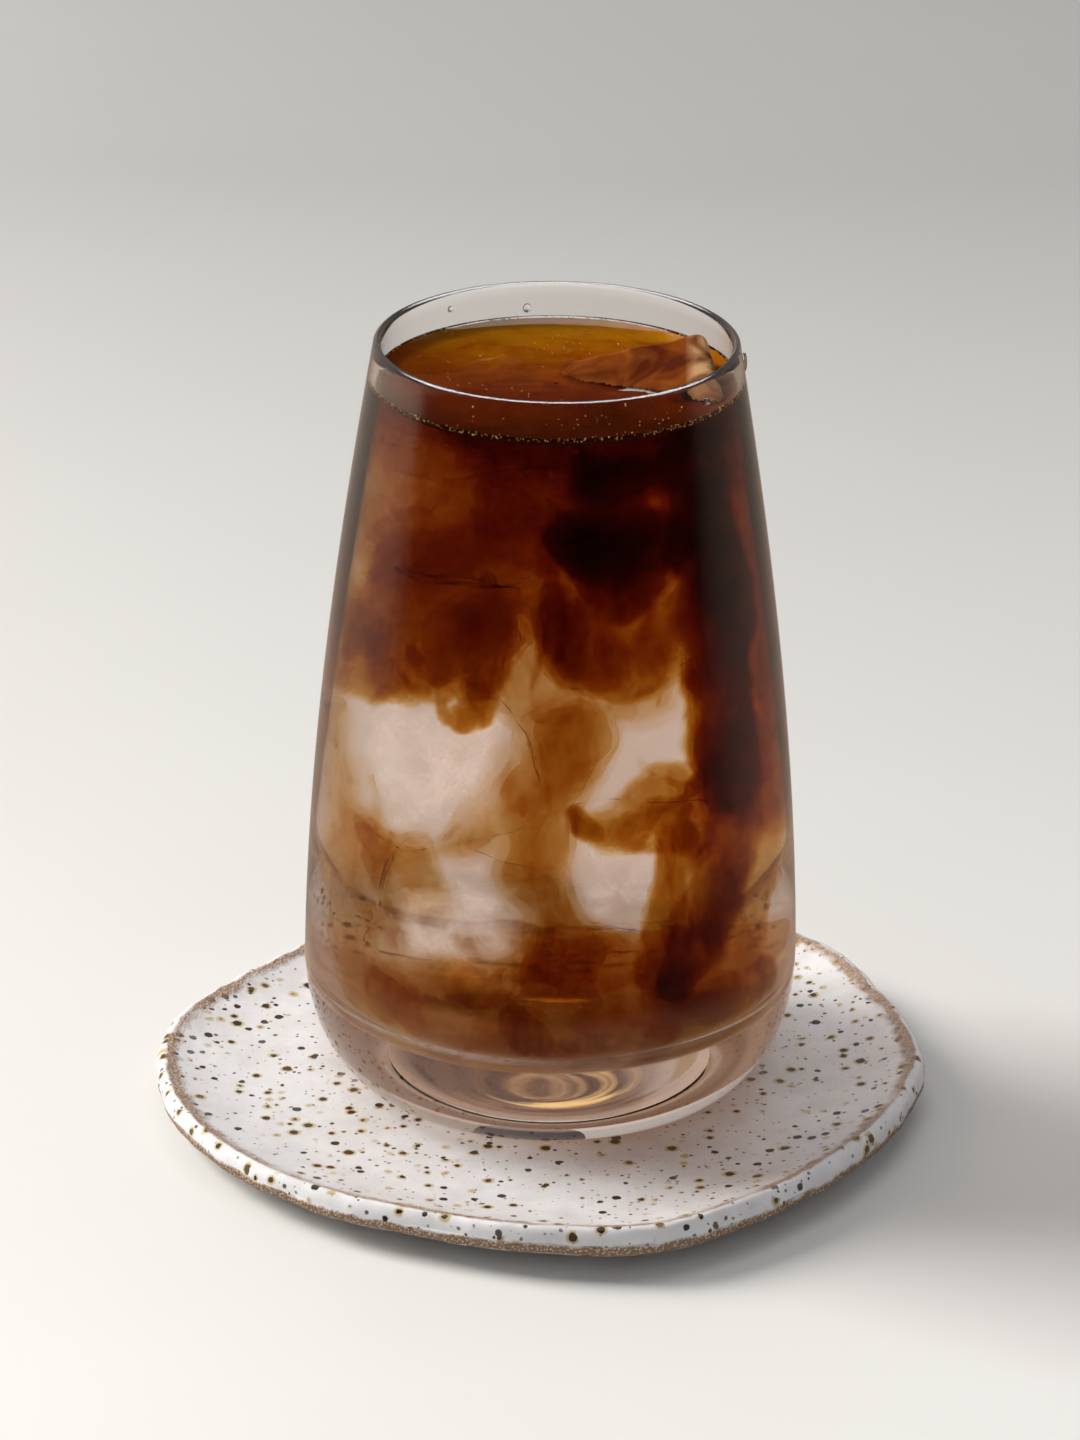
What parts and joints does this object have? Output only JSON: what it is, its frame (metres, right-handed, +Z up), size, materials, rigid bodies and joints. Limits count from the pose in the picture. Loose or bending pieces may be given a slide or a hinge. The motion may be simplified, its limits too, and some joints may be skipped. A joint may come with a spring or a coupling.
{
  "type": "iced americano",
  "caption": "Iced black coffee with ice in a tapered clear tumbler with a thick base, standing on a small handmade speckled stoneware saucer",
  "frame": {"origin": "on the table, at the centre of the saucer's flat foot, under the tumbler's axis", "axes": "+Z is up along the tumbler's axis, -Y is the front, +X is to the right seen from the front"},
  "size_m": [0.1305, 0.1319, 0.1348],
  "materials": {
    "speckled_glaze": "off-white satin glaze with brown and ochre specks, bare clay at the edge",
    "clear_glass": "clear polished glass",
    "coffee": "clear dark brown liquid, unevenly mixed",
    "ice": "wet clear ice"
  },
  "bodies": {
    "root": {"saucer": "speckled_glaze", "tumbler": "clear_glass", "drink": "coffee", "ice_block": "ice"}
  },
  "joints": []
}
